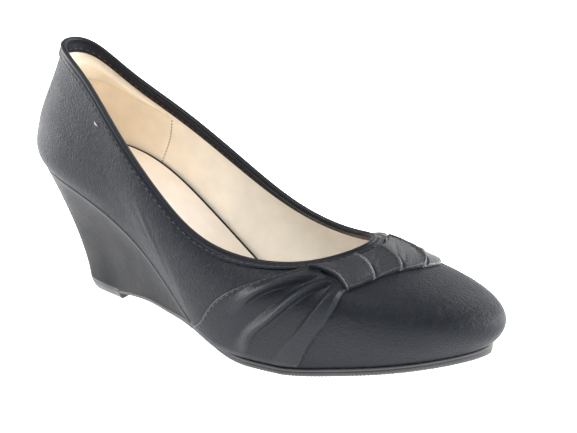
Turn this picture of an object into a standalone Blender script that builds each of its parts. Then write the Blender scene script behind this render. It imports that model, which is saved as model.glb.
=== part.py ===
"""A wedge pump: the right shoe of a pair, standing empty on its top lift and the ball of its sole.

X runs from heel to toe, Y towards the inner side of the foot and Z up from the floor. The origin is
on the floor under the middle of the top lift. Lengths are in metres.
"""

import bmesh
import bpy
import numpy as np

for old in list(bpy.data.objects):
    bpy.data.objects.remove(old, do_unlink=True)

# Main sizes of the last and the heel.
LENGTH = 0.245
BALL_WIDTH = 0.078
SEAT_HEIGHT = 0.067
BACK_HEIGHT = 0.060
WALL_RISE = 0.060
TOE_SPRING = 0.014
HEEL_CENTRE = 0.038

# Thicknesses, and the clearance left between neighbouring pieces.
GAP = 0.0003
WALL = 0.0015
MARGIN = 0.008
SOLE = 0.0044
SHANK = 0.0015
WEDGE_TIP = 0.0006
LIFT = 0.0056
SOCK = 0.0024
BINDING = 0.0005
BINDING_OUTSIDE = 0.0046
BINDING_INSIDE = 0.0066
PLEAT = 0.0012
FOLD = 0.0030
BAND = 0.0018
BAND_WIDE = 0.0215

# The last, round the foot from the back of the heel along the outer side to the toe and back along
# the inner side. The foot line and the collar are shares of LENGTH, BALL_WIDTH and the full height.
# Belly and crown are how far the wall bulges near the sole and near the collar.
LAST_COLUMNS = (
    "around", "foot_x", "foot_y", "belly_out", "belly_up",
    "crown_out", "crown_up", "collar_x", "collar_y", "collar_z",
)
LAST = np.array([
    (0.000, 0.005, 0.010, 0.165, 0.22, 0.05, -0.33, 0.056, 0.008, 0.999),
    (0.045, 0.040, -0.240, 0.160, 0.22, 0.06, -0.33, 0.088, -0.165, 0.990),
    (0.100, 0.138, -0.372, 0.120, 0.26, 0.07, -0.33, 0.168, -0.275, 0.918),
    (0.180, 0.320, -0.400, 0.065, 0.30, 0.07, -0.33, 0.282, -0.380, 0.746),
    (0.260, 0.475, -0.478, 0.050, 0.27, 0.08, -0.27, 0.392, -0.430, 0.560),
    (0.330, 0.610, -0.493, 0.040, 0.27, 0.13, -0.15, 0.505, -0.430, 0.419),
    (0.400, 0.760, -0.405, 0.075, 0.33, 0.26, -0.08, 0.635, -0.320, 0.375),
    (0.455, 0.895, -0.235, 0.160, 0.37, 0.38, -0.09, 0.714, -0.150, 0.394),
    (0.500, 0.986, 0.080, 0.255, 0.37, 0.43, -0.17, 0.750, 0.045, 0.417),
    (0.545, 0.940, 0.310, 0.185, 0.34, 0.35, -0.22, 0.736, 0.190, 0.415),
    (0.600, 0.820, 0.450, 0.095, 0.30, 0.22, -0.19, 0.668, 0.298, 0.390),
    (0.670, 0.680, 0.465, 0.050, 0.27, 0.13, -0.18, 0.540, 0.340, 0.432),
    (0.740, 0.520, 0.355, 0.050, 0.27, 0.08, -0.27, 0.405, 0.345, 0.563),
    (0.820, 0.340, 0.300, 0.065, 0.30, 0.07, -0.33, 0.262, 0.322, 0.722),
    (0.900, 0.153, 0.345, 0.095, 0.28, 0.07, -0.33, 0.135, 0.258, 0.866),
    (0.955, 0.043, 0.237, 0.140, 0.23, 0.05, -0.33, 0.075, 0.150, 0.972),
])

# Height of the foot line along the shoe: share of SEAT_HEIGHT at the heel, of TOE_SPRING at the toe.
FOOT_LINE_COLUMNS = ("along", "heel", "spring")
FOOT_LINE = np.array([
    (0.00, 1.02, 0.00),
    (0.12, 0.94, 0.00),
    (0.25, 0.76, 0.00),
    (0.37, 0.465, 0.00),
    (0.43, 0.270, 0.00),
    (0.49, 0.085, 0.00),
    (0.54, 0.015, 0.00),
    (0.59, 0.00, 0.00),
    (0.67, 0.00, 0.00),
    (0.76, 0.00, 0.26),
    (0.84, 0.00, 0.54),
    (0.92, 0.00, 0.78),
    (1.00, 0.00, 1.00),
])

# Underside of the arch between the top lift and the ball: height as a share of SEAT_HEIGHT.
ARCH_COLUMNS = ("along", "under")
ARCH = np.array([
    (0.20, 0.042),
    (0.27, 0.110),
    (0.33, 0.150),
    (0.40, 0.153),
    (0.45, 0.139),
    (0.49, 0.097),
    (0.53, 0.043),
    (0.57, 0.005),
    (0.60, 0.000),
])

# Edge of the wedge's underside, from the back of the heel to the front tip. The share is that of the
# way from heel to tip along the top, and spread is a share of the foot line's own half width.
BASE_COLUMNS = ("share", "along", "spread")
BASE = np.array([
    (0.00, 0.098, 0.05),
    (0.04, 0.100, 0.21),
    (0.10, 0.109, 0.36),
    (0.22, 0.130, 0.45),
    (0.40, 0.172, 0.49),
    (0.55, 0.212, 0.53),
    (0.75, 0.300, 0.76),
    (0.90, 0.395, 0.91),
    (1.00, 0.466, 0.955),
])
BREAST_ROW = 5

# The gathered panel on each side of the vamp, between its rear and front seams.
PLEAT_COLUMNS = ("way_up", "rear_around", "rear_up", "front_around", "front_up")
PLEAT_SEAMS = np.array([
    (0.00, 0.262, 0.02, 0.3745, 0.02),
    (0.25, 0.298, 0.33, 0.389, 0.195),
    (0.50, 0.338, 0.57, 0.409, 0.365),
    (0.75, 0.379, 0.77, 0.4265, 0.515),
    (1.00, 0.4235, 0.94, 0.4430, 0.675),
])

# Folds of the gathered panel, from the foot to the band: where the crest lies between the seams, how
# far the fold reaches behind and in front of it, and its height as a share of FOLD.
FOLD_COLUMNS = ("way_up", "crest", "rear_wide", "front_wide", "high")
BROAD_FOLD = np.array([
    (0.00, 0.22, 0.16, 0.11, 0.00),
    (0.40, 0.21, 0.16, 0.11, 0.10),
    (0.50, 0.20, 0.16, 0.11, 0.50),
    (0.66, 0.19, 0.17, 0.11, 0.90),
    (0.78, 0.21, 0.19, 0.13, 1.00),
    (1.00, 0.31, 0.28, 0.21, 0.90),
])
NARROW_FOLD = np.array([
    (0.00, 0.50, 0.14, 0.11, 0.10),
    (0.16, 0.50, 0.12, 0.11, 0.60),
    (0.50, 0.535, 0.12, 0.11, 0.85),
    (0.71, 0.56, 0.14, 0.12, 0.90),
    (1.00, 0.64, 0.17, 0.14, 0.80),
])
FLAT_FOLD = np.array([
    (0.00, 0.87, 0.10, 0.26, 0.10),
    (0.20, 0.86, 0.11, 0.26, 0.20),
    (0.50, 0.86, 0.11, 0.26, 0.40),
    (0.80, 0.87, 0.12, 0.26, 0.65),
    (1.00, 0.89, 0.15, 0.22, 0.70),
])

# The band across the vamp, from its outer end to its inner end: place round the last of its rear and
# front edges, and how far the front edge lies down from the collar as a share of BAND_WIDE. The rear
# edge follows the binding.
BAND_COLUMNS = ("share", "rear_around", "front_around", "front_drop")
BAND_EDGES = np.array([
    (0.00, 0.4285, 0.4475, 1.09),
    (0.20, 0.452, 0.4620, 1.05),
    (0.50, 0.500, 0.4965, 1.05),
    (0.80, 0.547, 0.5270, 1.46),
    (1.00, 0.5715, 0.5490, 1.42),
])

# Lines across the band, by their share of its length: its outer end, three tucks and its inner end.
# The hollow is how far the middle of a line lies in from the outer end, and the bow how far its front
# end lies back towards it.
LINE_COLUMNS = ("share", "hollow", "bow")
BAND_LINES = np.array([
    (0.000, 0.10, 0.00),
    (0.355, 0.00, 0.125),
    (0.535, 0.00, 0.10),
    (0.766, 0.00, 0.26),
    (1.000, 0.00, 0.00),
])
TUCK_LIFT = 0.0016
TUCK_STEP = 0.014

# How many points each piece takes.
ROUND = 80
WALL_ROWS = 13
STATIONS = 36


def smooth_curve(table, at, closed=False):
    """Cubic spline through a table's first column: second slopes m solve the usual three-term rows."""
    knot, value = table[:, 0], table[:, 1:]
    count = len(knot)
    step = np.diff(np.r_[knot, knot[0] + 1.0]) if closed else np.diff(knot)
    rows = np.eye(count)
    right = np.zeros_like(value)
    for i in range(0 if closed else 1, count if closed else count - 1):
        before, after = (i - 1) % count, (i + 1) % count
        rows[i] = 0.0
        rows[i, before] += step[before]
        rows[i, i] += 2.0 * (step[before] + step[i])
        rows[i, after] += step[i]
        right[i] = 6.0 * ((value[after] - value[i]) / step[i] - (value[i] - value[before]) / step[before])
    bend = np.linalg.solve(rows, right)
    at = np.asarray(at, float)
    here = (at - knot[0]) % 1.0 + knot[0] if closed else np.clip(at, knot[0], knot[-1])
    i = np.clip(np.searchsorted(knot, here, side="right") - 1, 0, len(step) - 1)
    j = (i + 1) % count
    wide = step[i][:, None]
    a = (knot[i] + step[i] - here)[:, None] / wide
    b = 1.0 - a
    return a * value[i] + b * value[j] + ((a**3 - a) * bend[i] + (b**3 - b) * bend[j]) * wide**2 / 6.0


def foot_height(x):
    """Height of the foot line over the floor at a distance x along the shoe."""
    share = smooth_curve(FOOT_LINE, (np.ravel(x) + HEEL_CENTRE) / LENGTH)
    rise = (SEAT_HEIGHT - SOLE) * np.maximum(share[:, 0], 0.0) + TOE_SPRING * np.maximum(share[:, 1], 0.0)
    return (SOLE + rise).reshape(np.shape(x))


def foot_level(x, offset):
    """Height at x of the foot surface moved by offset at right angles to its own slope."""
    step = 0.004 * LENGTH
    slope = (foot_height(x + step) - foot_height(x - step)) / (2.0 * step)
    return foot_height(x) + offset * np.sqrt(1.0 + slope**2)


def under_height(x):
    """Height of the sole's underside: the arch behind the ball, then one sole below the foot line."""
    arch = SEAT_HEIGHT * smooth_curve(ARCH, (np.ravel(x) + HEEL_CENTRE) / LENGTH)[:, 0]
    arch = np.maximum(arch, 0.0).reshape(np.shape(x))
    front = np.asarray(x) > ARCH[-1, 0] * LENGTH - HEEL_CENTRE
    return np.where(front, foot_height(x) - SOLE, arch)


def shank_top(x):
    """Height of the outsole's upper face behind the wedge's tip: it thickens forward as it nears it."""
    forward = np.clip(((np.asarray(x) + HEEL_CENTRE) / LENGTH - 0.36) / 0.106, 0.0, 1.0)
    return under_height(x) + SHANK + 0.6 * (SOLE - SHANK) * forward**2


def plan_outward(around, column):
    """Unit plan normal of the foot line or the collar, a quarter turn from its direction."""
    step = 0.002
    ahead = smooth_curve(LAST, around + step, True)[:, column:column + 2]
    behind = smooth_curve(LAST, around - step, True)[:, column:column + 2]
    way = (ahead - behind) * (LENGTH, BALL_WIDTH)
    way /= np.linalg.norm(way, axis=1)[:, None]
    return np.c_[way[:, 1], -way[:, 0]]


def last_rails(around):
    """Foot, belly, crown and collar points of the wall at each place round the foot."""
    share = smooth_curve(LAST, around, True)
    foot_x = share[:, 0] * LENGTH - HEEL_CENTRE
    foot = np.c_[foot_x, share[:, 1] * BALL_WIDTH, foot_height(foot_x)]
    collar = np.c_[
        share[:, 6] * LENGTH - HEEL_CENTRE,
        share[:, 7] * BALL_WIDTH,
        share[:, 8] * (SEAT_HEIGHT + BACK_HEIGHT),
    ]
    foot_out, collar_out = plan_outward(around, 0), plan_outward(around, 6)
    belly = foot + np.c_[foot_out * share[:, 2:3] * BALL_WIDTH, share[:, 3] * WALL_RISE]
    crown = collar + np.c_[collar_out * share[:, 4:5] * BALL_WIDTH, share[:, 5] * WALL_RISE]
    return foot, belly, crown, collar


def last_point(around, up):
    """Point of the wall: a cubic Bezier from the foot line, up = 0, to the collar, up = 1."""
    around, up = np.broadcast_arrays(np.asarray(around, float), np.asarray(up, float))
    foot, belly, crown, collar = last_rails(around.ravel())
    t = up.ravel()[:, None]
    point = foot * (1 - t) ** 3 + 3 * belly * (1 - t) ** 2 * t + 3 * crown * (1 - t) * t**2 + collar * t**3
    return point.reshape(around.shape + (3,))


def wall_point(around, up, out):
    """Wall point moved out along the wall's normal, the cross product of its two directions."""
    step = 0.001
    around, up = np.broadcast_arrays(np.asarray(around, float), np.asarray(up, float))
    along = last_point(around + step, up) - last_point(around - step, up)
    rise = last_point(around, np.minimum(up + step, 1.0)) - last_point(around, np.maximum(up - step, 0.0))
    normal = np.cross(along, rise)
    normal /= np.linalg.norm(normal, axis=-1)[..., None]
    return last_point(around, up) + normal * np.asarray(out, float)[..., None]


def below_collar(around, drop):
    """How far up the wall a point lies that is a distance drop down the wall from the collar."""
    around, drop = np.broadcast_arrays(np.asarray(around, float), np.asarray(drop, float))
    up = np.linspace(1.0, 0.0, 161)
    line = last_point(around.ravel()[:, None], up[None, :])
    length = np.cumsum(np.linalg.norm(np.diff(line, axis=1), axis=2), axis=1)
    length = np.concatenate([np.zeros((len(length), 1)), length], axis=1)
    i = np.clip((length < drop.ravel()[:, None]).sum(1) - 1, 0, len(up) - 2)
    pick = np.arange(len(i))
    share = (drop.ravel() - length[pick, i]) / (length[pick, i + 1] - length[pick, i])
    return (up[i] + share * (up[i + 1] - up[i])).reshape(around.shape)


def foot_edges(x, inset):
    """Outer and inner edges in plan of the foot line moved in by inset, at distances x."""
    around = np.linspace(0.0, 1.0, 801)[:-1]
    line = last_rails(around)[0][:, :2] - plan_outward(around, 0) * inset
    line = np.roll(line, -int(line[:, 0].argmin()), axis=0)
    toe = int(line[:, 0].argmax())
    outer, inner = line[:toe + 1], line[toe:][::-1]
    return np.interp(x, outer[:, 0], outer[:, 1]), np.interp(x, inner[:, 0], inner[:, 1])


def foot_ends(inset):
    """Rearmost and foremost x of the foot line moved in by inset."""
    around = np.linspace(0.0, 1.0, 801)[:-1]
    x = (last_rails(around)[0][:, :2] - plan_outward(around, 0) * inset)[:, 0]
    return float(x.min()), float(x.max())


def ring(x, outer, inner, z):
    """One loop round a piece: up the outer side, then back down the inner side."""
    z = np.broadcast_to(z, np.shape(x))
    return np.r_[np.c_[x, outer, z], np.c_[x, inner, z][::-1]]


def fold(across, way, table):
    """One fold of the panel: a squared cosine that rises from the rear to its crest and falls in front."""
    crest, rear_wide, front_wide, high = smooth_curve(table, way.ravel()).T
    reach = np.where(across < crest, (across - crest) / rear_wide, (across - crest) / front_wide)
    return FOLD * np.maximum(high, 0.0) * np.cos(np.clip(reach, -1.0, 1.0) * np.pi / 2.0) ** 2


def add_piece(name, points, faces, colour, roughness):
    """A named body with its own material, faces turned outward and shaded smooth across soft edges."""
    mesh = bpy.data.meshes.new(name)
    mesh.from_pydata([tuple(p) for p in points], [], faces)
    body = bmesh.new()
    body.from_mesh(mesh)
    bmesh.ops.recalc_face_normals(body, faces=body.faces)
    body.to_mesh(mesh)
    body.free()
    for polygon in mesh.polygons:
        polygon.use_smooth = True
    mesh.set_sharp_from_angle(angle=np.radians(38.0))
    material = bpy.data.materials.new(name)
    material.use_nodes = True
    shader = material.node_tree.nodes["Principled BSDF"]
    shader.inputs["Base Color"].default_value = (*colour, 1.0)
    shader.inputs["Roughness"].default_value = roughness
    mesh.materials.append(material)
    piece = bpy.data.objects.new(name, mesh)
    shoe.objects.link(piece)
    return piece


def stacked_rings(name, rings, colour, roughness):
    """Closed body through a stack of loops, each end closed by strips from its outer to its inner side."""
    count = len(rings[0])
    points = np.concatenate(rings)
    faces = []
    for level in range(len(rings) - 1):
        for i in range(count):
            j = (i + 1) % count
            low, high = level * count, (level + 1) * count
            faces.append((low + i, low + j, high + j, high + i))
    for base in (0, (len(rings) - 1) * count):
        for i in range(count // 2 - 1):
            faces.append((base + i, base + i + 1, base + count - 2 - i, base + count - 1 - i))
    return add_piece(name, points, faces, colour, roughness)


def grid_faces(rows, columns, start, wrap_rows=False):
    """Quads of a grid of points numbered row by row."""
    faces = []
    for i in range(rows if wrap_rows else rows - 1):
        for j in range(columns - 1):
            a, b = start + i * columns + j, start + ((i + 1) % rows) * columns + j
            faces.append((a, b, b + 1, a + 1))
    return faces


def slab(name, lower, upper, colour, roughness):
    """Closed body between two grids of points of the same shape."""
    rows, columns = lower.shape[:2]
    size = rows * columns
    points = np.concatenate([lower.reshape(-1, 3), upper.reshape(-1, 3)])
    faces = grid_faces(rows, columns, 0) + grid_faces(rows, columns, size)
    edge = [j for j in range(columns)]
    edge += [i * columns + columns - 1 for i in range(1, rows)]
    edge += [(rows - 1) * columns + j for j in range(columns - 2, -1, -1)]
    edge += [i * columns for i in range(rows - 2, 0, -1)]
    for k, a in enumerate(edge):
        b = edge[(k + 1) % len(edge)]
        faces.append((a, b, b + size, a + size))
    return add_piece(name, points, faces, colour, roughness)


shoe = bpy.data.collections.new("wedge_pump")
bpy.context.scene.collection.children.link(shoe)
black = (0.035, 0.037, 0.042)
places = np.arange(ROUND) / ROUND

# Upper: the wall of the last from the collar to the foot line, then turned in under the foot.
rise = np.linspace(1.0, 0.0, WALL_ROWS)
wall = last_point(places[:, None], rise[None, :])
foot = last_rails(places)[0]
turned = []
for share in (0.35, 1.0):
    plan = foot[:, :2] - plan_outward(places, 0) * MARGIN * share
    turned.append(np.c_[plan, foot_height(plan[:, 0])])
shell = np.concatenate([wall, np.stack(turned, axis=1)], axis=1)
upper = add_piece(
    "upper", shell.reshape(-1, 3), grid_faces(ROUND, WALL_ROWS + 2, 0, True), black, 0.45
)
thick = upper.modifiers.new("wall thickness", "SOLIDIFY")
thick.thickness = WALL
thick.offset = -1.0
thick.use_even_offset = True
thick.use_rim = True

# Topline binding: a folded strip over the collar, its inner leg the deeper of the two.
outer_far, outer_near = GAP + BINDING, GAP
inner_near, inner_far = -WALL - GAP, -WALL - GAP - BINDING
top = wall_point(places, 1.0, np.zeros(ROUND))
up_way = top - wall_point(places, below_collar(places, 0.2 * BINDING_OUTSIDE), np.zeros(ROUND))
up_way /= np.linalg.norm(up_way, axis=1)[:, None]
outer_top = wall_point(places, 1.0, np.full(ROUND, outer_far))
inner_top = wall_point(places, 1.0, np.full(ROUND, inner_far))
middle = (outer_top + inner_top) / 2.0
profile = [wall_point(places, below_collar(places, BINDING_OUTSIDE), np.full(ROUND, outer_far)), outer_top]
for angle in np.radians((40.0, 90.0, 140.0)):
    round_way = np.cos(angle) * (outer_top - middle) + np.sin(angle) * BINDING * up_way
    profile.append(middle + round_way + 3.0 * GAP * up_way)
for out, share in ((inner_far, 0.0), (inner_far, 0.5), (inner_far, 1.0), (inner_near, 1.0), (inner_near, 0.5)):
    profile.append(wall_point(places, below_collar(places, BINDING_INSIDE * share), np.full(ROUND, out)))
for out in (inner_near, outer_near):
    profile.append(wall_point(places, 1.0, np.full(ROUND, out)) + 1.6 * GAP * up_way)
profile.append(wall_point(places, below_collar(places, BINDING_OUTSIDE), np.full(ROUND, outer_near)))
profile = np.stack(profile, axis=1)
columns = profile.shape[1]
faces = []
for i in range(ROUND):
    for j in range(columns):
        a, b = i * columns, ((i + 1) % ROUND) * columns
        k = (j + 1) % columns
        faces.append((a + j, b + j, b + k, a + k))
add_piece("topline_binding", profile.reshape(-1, 3), faces, (0.028, 0.029, 0.033), 0.5)

# Insole: a sock board on the turned-in margin, inside the wall all the way round.
inset = WALL + 2.0 * GAP
rear, toe = foot_ends(inset)
turn = np.radians(180.0) * (np.arange(STATIONS) + 0.35) / (STATIONS - 0.3)
x = rear + (toe - rear) * (1.0 - np.cos(turn)) / 2.0
edge_outer, edge_inner = foot_edges(x, inset)
insole_rings = [ring(x, edge_outer, edge_inner, foot_level(x, WALL + GAP + SOCK * s)) for s in (0.0, 1.0)]
stacked_rings("insole", insole_rings, (0.72, 0.60, 0.48), 0.8)

# Wedge: from the foot line down to a narrow base, its sides a quadratic curve that hollows in.
rear = foot_ends(GAP)[0]
tip = BASE[-1, 1] * LENGTH - HEEL_CENTRE
turn = np.radians(90.0) * (np.arange(STATIONS) + 0.3) / (STATIONS - 0.7)
share = 1.0 - np.cos(turn)
x = (rear + (tip - rear) * share)[::-1]
edge_outer, edge_inner = foot_edges(x, GAP)
crest = ring(x, edge_outer, edge_inner, foot_level(x, -GAP))
base = smooth_curve(BASE, share)[::-1]
base_x = base[:, 0] * LENGTH - HEEL_CENTRE
foot_outer, foot_inner = foot_edges(base_x, 0.0)
centre = (foot_outer + foot_inner) / 2.0
base_outer = centre + (foot_outer - centre) * base[:, 1]
base_inner = centre + (foot_inner - centre) * base[:, 1]
breast = BASE[BREAST_ROW, 1] * LENGTH - HEEL_CENTRE
shank_line = np.minimum(shank_top(base_x), foot_level(base_x, -2.0 * GAP - WEDGE_TIP))
base_z = np.where(base_x <= breast, LIFT, np.maximum(shank_line, LIFT)) + GAP
floor_ring = ring(base_x, base_outer, base_inner, base_z)
wedge_rings = []
for s in (0.0, 0.25, 0.5, 0.75, 1.0):
    bow = 1.0 - (1.0 - s) ** 1.45
    level = crest * (1.0 - s) + floor_ring * s
    level[:, :2] = crest[:, :2] * (1.0 - bow) + floor_ring[:, :2] * bow
    wedge_rings.append(level)
stacked_rings("wedge", wedge_rings, (0.045, 0.047, 0.052), 0.45)

# Outsole: the full sole under the forefoot, thinning to a shank cover back to the breast.
toe = foot_ends(0.0)[1]
start = breast + GAP
turn = np.radians(90.0) * (np.arange(STATIONS + 8) + 0.0) / (STATIONS + 7.7)
x = np.sort(np.r_[start + (toe - start) * np.sin(turn), tip + GAP, tip + 2.0 * GAP])
edge_outer, edge_inner = foot_edges(x, 0.0)
sole_base = smooth_curve(np.c_[BASE[:, 1], BASE[:, 2]], (x + HEEL_CENTRE) / LENGTH)[:, 0]
waist = np.clip((ARCH[-1, 0] * LENGTH - HEEL_CENTRE - x) / (0.08 * LENGTH), 0.0, 1.0)
behind_tip = x < tip + 1.5 * GAP
spread = np.where(behind_tip, sole_base, 1.0 - (1.0 - BASE[-1, 2]) * waist)
centre = (edge_outer + edge_inner) / 2.0
edge_outer = centre + (edge_outer - centre) * spread
edge_inner = centre + (edge_inner - centre) * spread
sole_top = np.where(
    behind_tip,
    np.minimum(shank_top(x), foot_level(x, -3.0 * GAP - WEDGE_TIP)),
    foot_level(x, -GAP),
)
sole_under = under_height(x)
thickness = sole_top - sole_under
outsole_rings = []
for s, tuck in ((0.0, 0.27 * SOLE), (0.3, 0.0), (1.0, 0.0)):
    outer = edge_outer + tuck
    inner = edge_inner - tuck
    crossed = outer > inner
    middle = (outer + inner) / 2.0
    outer, inner = np.where(crossed, middle - GAP, outer), np.where(crossed, middle + GAP, inner)
    outsole_rings.append(ring(x, outer, inner, sole_under + thickness * s))
stacked_rings("outsole", outsole_rings, (0.03, 0.03, 0.033), 0.6)

# Top lift: the D-shaped block under the wedge, flat on the floor and square at the breast.
share = BASE[BREAST_ROW, 0] * (1.0 - np.linspace(0.0, 1.0, 15)) ** 1.5
lift = smooth_curve(BASE, share)
lift_x = lift[:, 0] * LENGTH - HEEL_CENTRE
foot_outer, foot_inner = foot_edges(lift_x, 0.0)
centre = (foot_outer + foot_inner) / 2.0
lift_rings = []
for z, tuck in ((0.0, 0.36 * LIFT), (0.5 * LIFT, 0.16 * LIFT), (LIFT, GAP)):
    narrower = 1.0 - tuck / (foot_inner[0] - centre[0]) / lift[0, 1]
    outer = centre + (foot_outer - centre) * lift[:, 1] * narrower
    inner = centre + (foot_inner - centre) * lift[:, 1] * narrower
    shorter = lift_x[0] + (lift_x - lift_x[0]) * (1.0 - tuck / (lift_x[0] - lift_x[-1]))
    lift_rings.append(ring(shorter, outer, inner, z))
stacked_rings("top_lift", lift_rings, (0.025, 0.025, 0.028), 0.35)

# Pleat panels: the gathered leather between the seams, its folds fanning out from the band.
for name, mirror in (("pleat_outer", False), ("pleat_inner", True)):
    across = np.linspace(0.0, 1.0, 21)[:, None]
    way = np.linspace(0.0, 1.0, 14)[None, :]
    seam = smooth_curve(PLEAT_SEAMS, way.ravel())
    around = seam[:, 0] * (1.0 - across) + seam[:, 2] * across
    up = seam[:, 1] * (1.0 - across) + seam[:, 3] * across
    up = np.minimum(up, below_collar(around, BINDING_OUTSIDE + 2.0 * GAP))
    folds = fold(across, way, BROAD_FOLD)
    folds = np.maximum(folds, fold(across, way, NARROW_FOLD))
    folds = np.maximum(folds, fold(across, way, FLAT_FOLD))
    rim = np.clip(np.minimum(across, 1.0 - across) / 0.06, 0.0, 1.0)
    height = PLEAT + folds * rim
    if mirror:
        around = 1.0 - around
    lower = wall_point(around, up, np.full(around.shape, GAP))
    slab(name, lower, wall_point(around, up, GAP + height), black, 0.5)

# Vamp band: a strip across the front of the throat, each tuck a step that lifts its upper face.
tucks = BAND_LINES[1:-1, 0]
station = np.sort(np.r_[np.linspace(0.0, 1.0, 28), tucks, tucks + TUCK_STEP])
hollow, bow = (np.interp(station, BAND_LINES[:, 0], column)[:, None] for column in BAND_LINES[:, 1:].T)
across = np.linspace(0.0, 1.0, 7)[None, :]
share = station[:, None] + 4.0 * hollow * across * (1.0 - across) - bow * (across - 0.28) ** 2
edges = smooth_curve(BAND_EDGES, share.ravel()).reshape(share.shape + (3,))
around = edges[..., 0] * (1.0 - across) + edges[..., 1] * across
drop = (BINDING_OUTSIDE + 2.0 * GAP) * (1.0 - across) + BAND_WIDE * edges[..., 2] * across
up = below_collar(around, drop)
puff = np.full(station.shape, BAND)
for tuck in tucks:
    behind = np.clip(1.0 - (tuck - station) / 0.15, 0.0, 1.0)
    puff = puff + TUCK_LIFT * np.where(station <= tuck, behind**1.5, 0.0)
puff = puff[:, None] * (0.72 + 0.28 * np.sin(np.pi * np.clip(across, 0.05, 0.95)))
lower = wall_point(around, up, np.full(drop.shape, GAP))
slab("vamp_band", lower, wall_point(around, up, GAP + puff), (0.04, 0.042, 0.048), 0.5)
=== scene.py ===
"""A wedge pump, the right shoe of a pair, standing empty on its top lift and the ball of its sole.

X runs from heel to toe, Y towards the inner side of the foot and Z up from the floor, in metres.
"""

import bpy
import numpy as np
from mathutils import Matrix


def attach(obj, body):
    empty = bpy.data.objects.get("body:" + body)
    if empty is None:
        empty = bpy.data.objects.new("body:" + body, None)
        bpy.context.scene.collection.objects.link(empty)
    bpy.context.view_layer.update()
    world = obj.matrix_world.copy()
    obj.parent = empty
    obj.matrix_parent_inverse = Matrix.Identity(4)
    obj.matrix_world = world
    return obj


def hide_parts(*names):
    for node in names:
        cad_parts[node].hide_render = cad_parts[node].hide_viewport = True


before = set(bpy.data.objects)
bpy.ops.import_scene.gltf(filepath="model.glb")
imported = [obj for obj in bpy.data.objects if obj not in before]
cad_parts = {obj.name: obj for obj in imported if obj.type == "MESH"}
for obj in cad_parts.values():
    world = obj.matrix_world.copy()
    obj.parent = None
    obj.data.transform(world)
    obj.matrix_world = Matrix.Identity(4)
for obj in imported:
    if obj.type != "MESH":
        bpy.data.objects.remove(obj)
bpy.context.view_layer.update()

# The last, the form that the shoe is built round. It is no piece of the shoe: its foot line and its
# collar are smooth curves through listed places round the foot, from the back of the heel along the
# outer side to the toe and back, and its wall is a curve between the two.
LENGTH = 0.245
BALL_WIDTH = 0.078
SEAT_HEIGHT = 0.067
BACK_HEIGHT = 0.060
WALL_RISE = 0.060
TOE_SPRING = 0.014
HEEL_CENTRE = 0.038
SOLE = 0.0044
LAST_COLUMNS = (
    "around", "foot_x", "foot_y", "belly_out", "belly_up",
    "crown_out", "crown_up", "collar_x", "collar_y", "collar_z",
)
LAST = np.array([
    (0.000, 0.005, 0.010, 0.165, 0.22, 0.05, -0.33, 0.056, 0.008, 0.999),
    (0.045, 0.040, -0.240, 0.160, 0.22, 0.06, -0.33, 0.088, -0.165, 0.990),
    (0.100, 0.138, -0.372, 0.120, 0.26, 0.07, -0.33, 0.168, -0.275, 0.918),
    (0.180, 0.320, -0.400, 0.065, 0.30, 0.07, -0.33, 0.282, -0.380, 0.746),
    (0.260, 0.475, -0.478, 0.050, 0.27, 0.08, -0.27, 0.392, -0.430, 0.560),
    (0.330, 0.610, -0.493, 0.040, 0.27, 0.13, -0.15, 0.505, -0.430, 0.419),
    (0.400, 0.760, -0.405, 0.075, 0.33, 0.26, -0.08, 0.635, -0.320, 0.375),
    (0.455, 0.895, -0.235, 0.160, 0.37, 0.38, -0.09, 0.714, -0.150, 0.394),
    (0.500, 0.986, 0.080, 0.255, 0.37, 0.43, -0.17, 0.750, 0.045, 0.417),
    (0.545, 0.940, 0.310, 0.185, 0.34, 0.35, -0.22, 0.736, 0.190, 0.415),
    (0.600, 0.820, 0.450, 0.095, 0.30, 0.22, -0.19, 0.668, 0.298, 0.390),
    (0.670, 0.680, 0.465, 0.050, 0.27, 0.13, -0.18, 0.540, 0.340, 0.432),
    (0.740, 0.520, 0.355, 0.050, 0.27, 0.08, -0.27, 0.405, 0.345, 0.563),
    (0.820, 0.340, 0.300, 0.065, 0.30, 0.07, -0.33, 0.262, 0.322, 0.722),
    (0.900, 0.153, 0.345, 0.095, 0.28, 0.07, -0.33, 0.135, 0.258, 0.866),
    (0.955, 0.043, 0.237, 0.140, 0.23, 0.05, -0.33, 0.075, 0.150, 0.972),
])
FOOT_LINE_COLUMNS = ("along", "heel", "spring")
FOOT_LINE = np.array([
    (0.00, 1.02, 0.00),
    (0.12, 0.94, 0.00),
    (0.25, 0.76, 0.00),
    (0.37, 0.465, 0.00),
    (0.43, 0.270, 0.00),
    (0.49, 0.085, 0.00),
    (0.54, 0.015, 0.00),
    (0.59, 0.00, 0.00),
    (0.67, 0.00, 0.00),
    (0.76, 0.00, 0.26),
    (0.84, 0.00, 0.54),
    (0.92, 0.00, 0.78),
    (1.00, 0.00, 1.00),
])


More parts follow.
